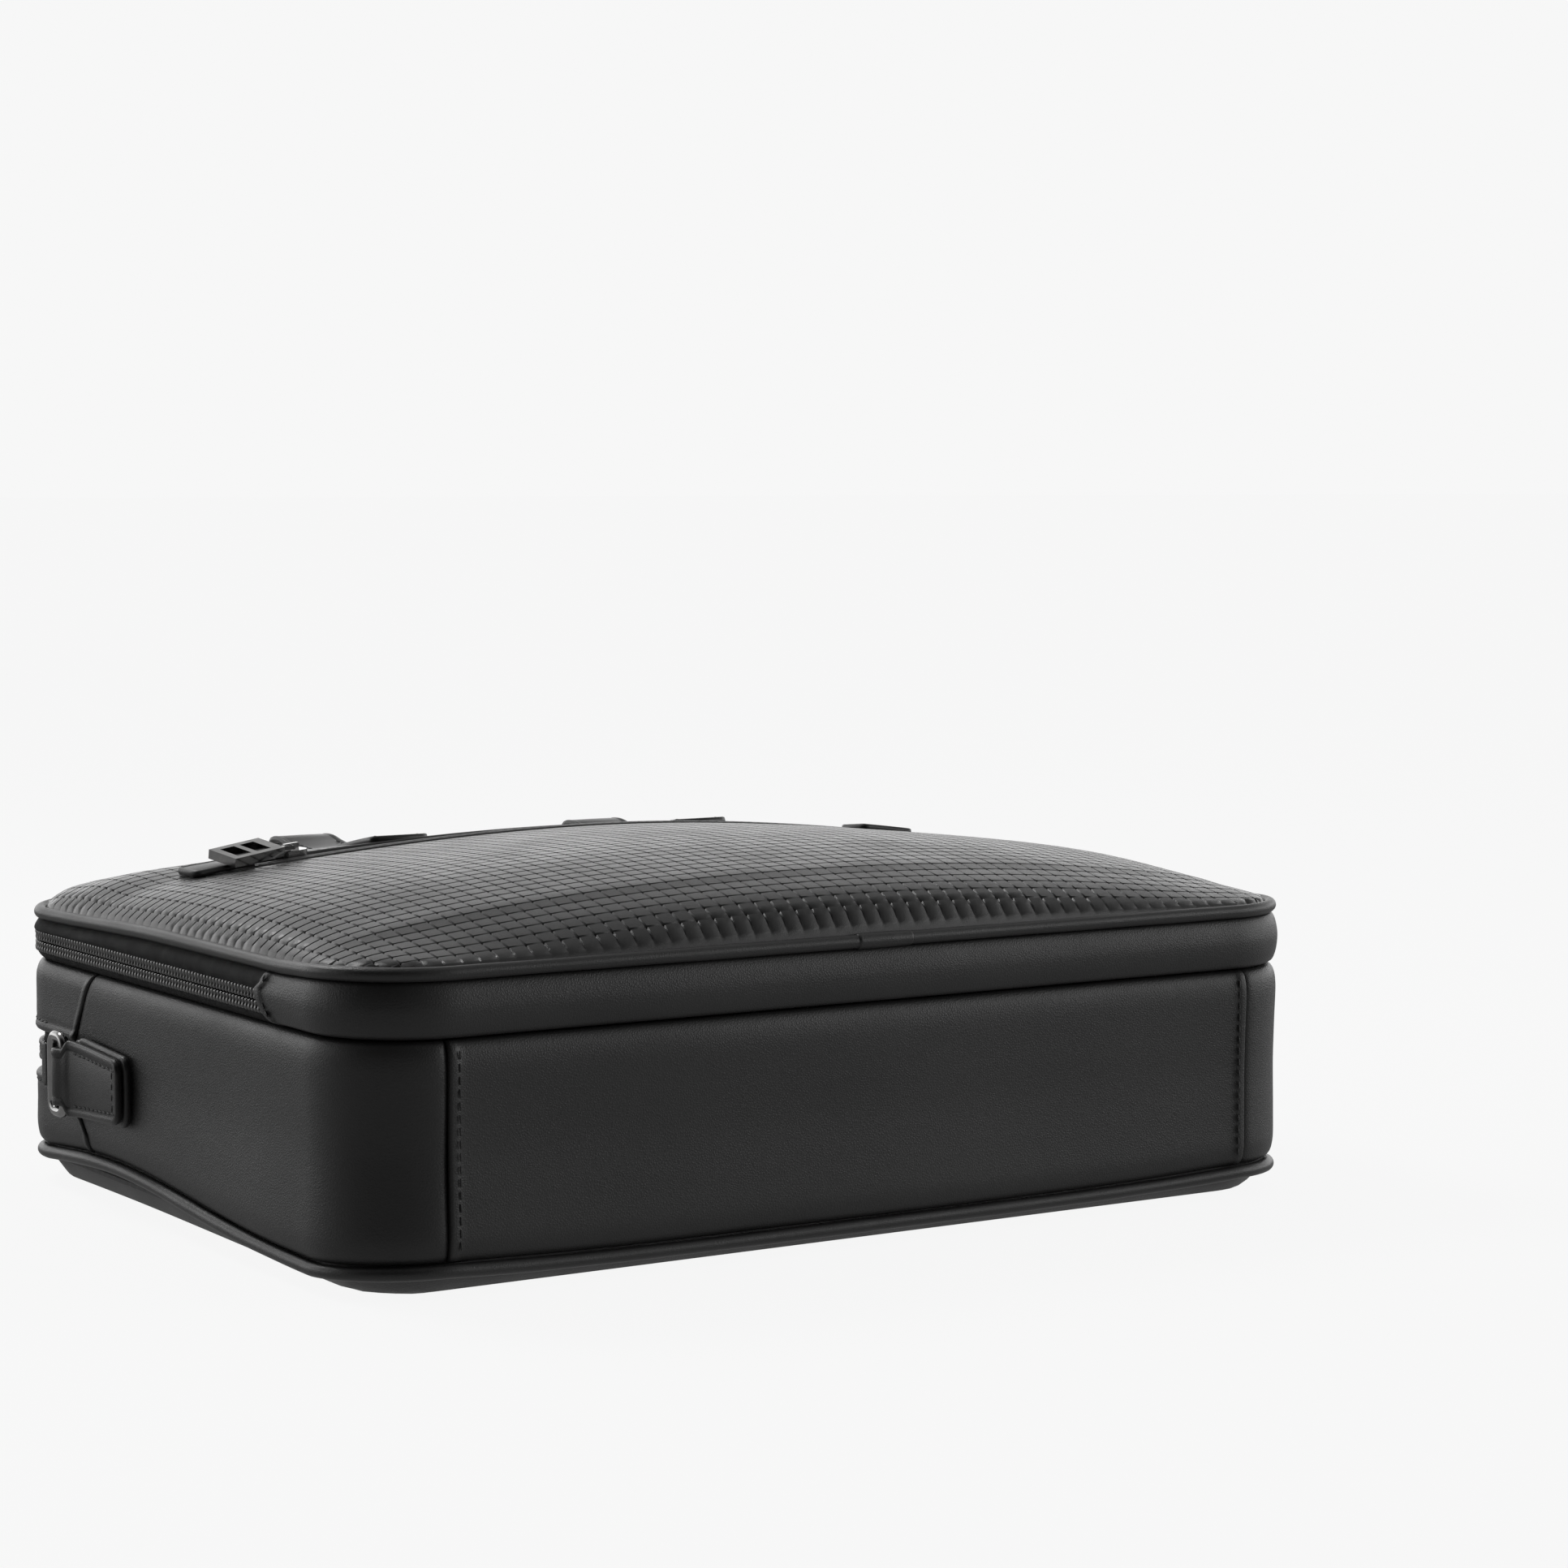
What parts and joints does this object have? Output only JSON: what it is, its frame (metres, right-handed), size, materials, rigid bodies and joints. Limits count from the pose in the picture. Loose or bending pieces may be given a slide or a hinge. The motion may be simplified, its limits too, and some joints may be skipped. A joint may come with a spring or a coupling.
{
  "type": "leather briefcase",
  "caption": "Black leather briefcase lying on its back: padded grid-embossed front panel, zipped front and main compartments, swinging handles and strap rings.",
  "frame": {"origin": "middle of the back panel's flat face, on the ground, under the middle of the case", "axes": "+Z out of the front panel, +Y towards the carrying handles, +X along the length"},
  "size_m": [0.42, 0.3855, 0.1339],
  "materials": {
    "leather": "smooth fine-grained calf, satin",
    "embossed_leather": "grid-embossed, semi-gloss",
    "piping_leather": "smooth, satin",
    "foam": "foam with cloth facing",
    "lining": "plain woven lining",
    "board": "plain",
    "zip_tape": "herringbone woven tape",
    "zip_teeth": "gunmetal, polished edges",
    "hardware": "dark nickel, polished"
  },
  "bodies": {
    "case": {"back_panel": "leather", "back_piping": "piping_leather", "back_board": "board", "base_panel": "leather", "side_wall_left": "leather", "side_wall_right": "leather", "top_strip_front": "leather", "top_strip_rear_ends": "leather", "main_zip_tape_front": "zip_tape", "main_zip_teeth_front": "zip_teeth", "main_zip_tape_rear_ends": "zip_tape", "main_zip_teeth_rear_ends": "zip_teeth", "main_zip_end_patches": "leather", "main_lining": "lining", "divider": "foam", "base_board": "board", "laptop_sleeve": "foam", "front_band": "leather", "front_zip_tape_lower": "zip_tape", "front_zip_teeth_lower": "zip_teeth", "front_piping_lower": "piping_leather", "front_panel_lower": "embossed_leather", "rear_handle_straps": "leather", "strap_tab_left": "leather", "strap_tab_right": "leather"},
    "cover": {"front_panel_upper": "embossed_leather", "front_piping_upper": "piping_leather", "front_zip_tape_upper": "zip_tape", "front_zip_teeth_upper": "zip_teeth", "pocket_zip_tape": "zip_tape", "pocket_zip_teeth": "zip_teeth", "pocket_bag": "lining", "pocket_tab_left": "leather", "pocket_tab_right": "leather", "front_handle_straps": "leather"},
    "mouth_flap": {"mouth_flap": "leather", "mouth_flap_tape": "zip_tape", "mouth_flap_teeth": "zip_teeth"},
    "front_handle": {"front_handle_rings": "hardware", "front_handle_ends": "leather", "front_handle_grip": "leather"},
    "rear_handle": {"rear_handle_rings": "hardware", "rear_handle_ends": "leather", "rear_handle_grip": "leather"},
    "strap_ring_left": {"strap_ring_left": "hardware"},
    "strap_ring_right": {"strap_ring_right": "hardware"},
    "pocket_slider": {"pocket_slider": "hardware"},
    "pocket_pull": {"pocket_pull": "hardware"},
    "front_slider_left": {"front_slider_left": "hardware"},
    "front_pull_left": {"front_pull_left": "hardware"},
    "front_slider_right": {"front_slider_right": "hardware"},
    "front_pull_right": {"front_pull_right": "hardware"},
    "main_slider_left": {"main_slider_left": "hardware"},
    "main_pull_left": {"main_pull_left": "hardware"},
    "main_slider_right": {"main_slider_right": "hardware"},
    "main_pull_right": {"main_pull_right": "hardware"}
  },
  "joints": [
    {"name": "front_compartment_open", "type": "hinge", "parent": "case", "child": "cover", "pos_m": [0, -0.088, 0.1345], "axis": [1, 0, 0], "range_deg": [0, 38]},
    {"name": "mouth_flap_open", "type": "hinge", "parent": "case", "child": "mouth_flap", "pos_m": [0, 0.152, 0.0104], "axis": [-1, 0, 0], "range_deg": [0, 70]},
    {"name": "front_handle_swing", "type": "hinge", "parent": "cover", "child": "front_handle", "pos_m": [0, 0.1655, 0.117], "axis": [1, 0, 0], "range_deg": [0, 170]},
    {"name": "rear_handle_swing", "type": "hinge", "parent": "case", "child": "rear_handle", "pos_m": [0, 0.1655, 0.008], "axis": [-1, 0, 0], "range_deg": [-75, 0]},
    {"name": "strap_ring_left_swing", "type": "hinge", "parent": "case", "child": "strap_ring_left", "pos_m": [-0.2054, 0.0795, 0.0465], "axis": [0, 0, 1], "range_deg": [0, 130]},
    {"name": "strap_ring_right_swing", "type": "hinge", "parent": "case", "child": "strap_ring_right", "pos_m": [0.2054, 0.0795, 0.0465], "axis": [0, 0, -1], "range_deg": [0, 130]},
    {"name": "pocket_slider_run", "type": "hinge", "parent": "cover", "child": "pocket_slider", "pos_m": [0, 0.068, -0.9707], "axis": [0, 1, 0], "range_deg": [0, 12.5]},
    {"name": "pocket_pull_tip", "type": "hinge", "parent": "pocket_slider", "child": "pocket_pull", "pos_m": [-0.11832, 0.068, 0.12805], "axis": [0, 1, 0], "range_deg": [0, 150]},
    {"name": "front_slider_left_run", "type": "slide", "parent": "cover", "child": "front_slider_left", "axis": [-1, 0, 0], "range_m": [0, 0.14]},
    {"name": "front_pull_left_swing", "type": "hinge", "parent": "front_slider_left", "child": "front_pull_left", "pos_m": [-0.007, 0.157, 0.0924], "axis": [0, 0, -1], "range_deg": [0, 150]},
    {"name": "front_slider_right_run", "type": "slide", "parent": "cover", "child": "front_slider_right", "axis": [1, 0, 0], "range_m": [0, 0.14]},
    {"name": "front_pull_right_swing", "type": "hinge", "parent": "front_slider_right", "child": "front_pull_right", "pos_m": [0.007, 0.157, 0.0924], "axis": [0, 0, 1], "range_deg": [0, 150]},
    {"name": "main_slider_left_run", "type": "slide", "parent": "case", "child": "main_slider_left", "axis": [1, 0, 0], "range_m": [0, 0.142]},
    {"name": "main_pull_left_swing", "type": "hinge", "parent": "main_slider_left", "child": "main_pull_left", "pos_m": [-0.148, 0.156, 0.0495], "axis": [0, 0, 1], "range_deg": [0, 150]},
    {"name": "main_slider_right_run", "type": "slide", "parent": "case", "child": "main_slider_right", "axis": [-1, 0, 0], "range_m": [0, 0.142]},
    {"name": "main_pull_right_swing", "type": "hinge", "parent": "main_slider_right", "child": "main_pull_right", "pos_m": [0.148, 0.156, 0.0495], "axis": [0, 0, -1], "range_deg": [0, 150]}
  ]
}
